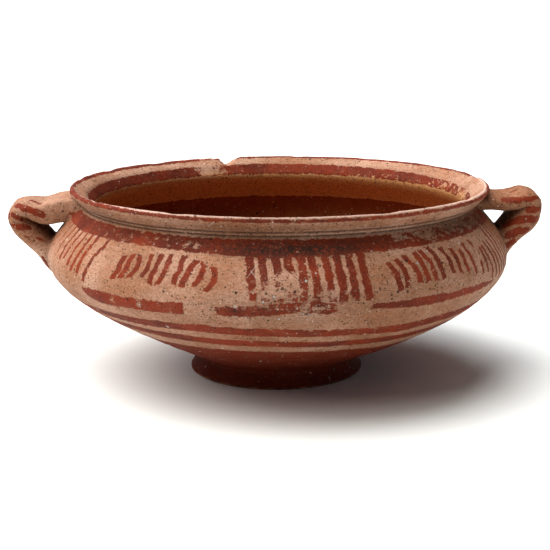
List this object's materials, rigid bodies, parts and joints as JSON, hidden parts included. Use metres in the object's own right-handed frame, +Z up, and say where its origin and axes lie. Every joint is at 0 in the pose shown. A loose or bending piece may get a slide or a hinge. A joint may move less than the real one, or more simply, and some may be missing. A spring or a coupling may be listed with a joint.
{
  "type": "biconical bowl",
  "caption": "Wide fired-clay bowl with a turned-out rim, rounded biconical body, low ring foot and vertical strap handles, painted with red-brown bands and rows of strokes.",
  "frame": {"origin": "on the ground, halfway between the outer ends of the handles, in the plane through the handles", "axes": "+Z up, +X toward the shorter handle, -Y toward the side that is seen in the picture"},
  "size_m": [0.2687, 0.2316, 0.0976],
  "materials": {
    "painted_clay": "matt unglazed, painted in red-brown slip"
  },
  "bodies": {
    "root": {"bowl": "painted_clay"}
  },
  "joints": []
}
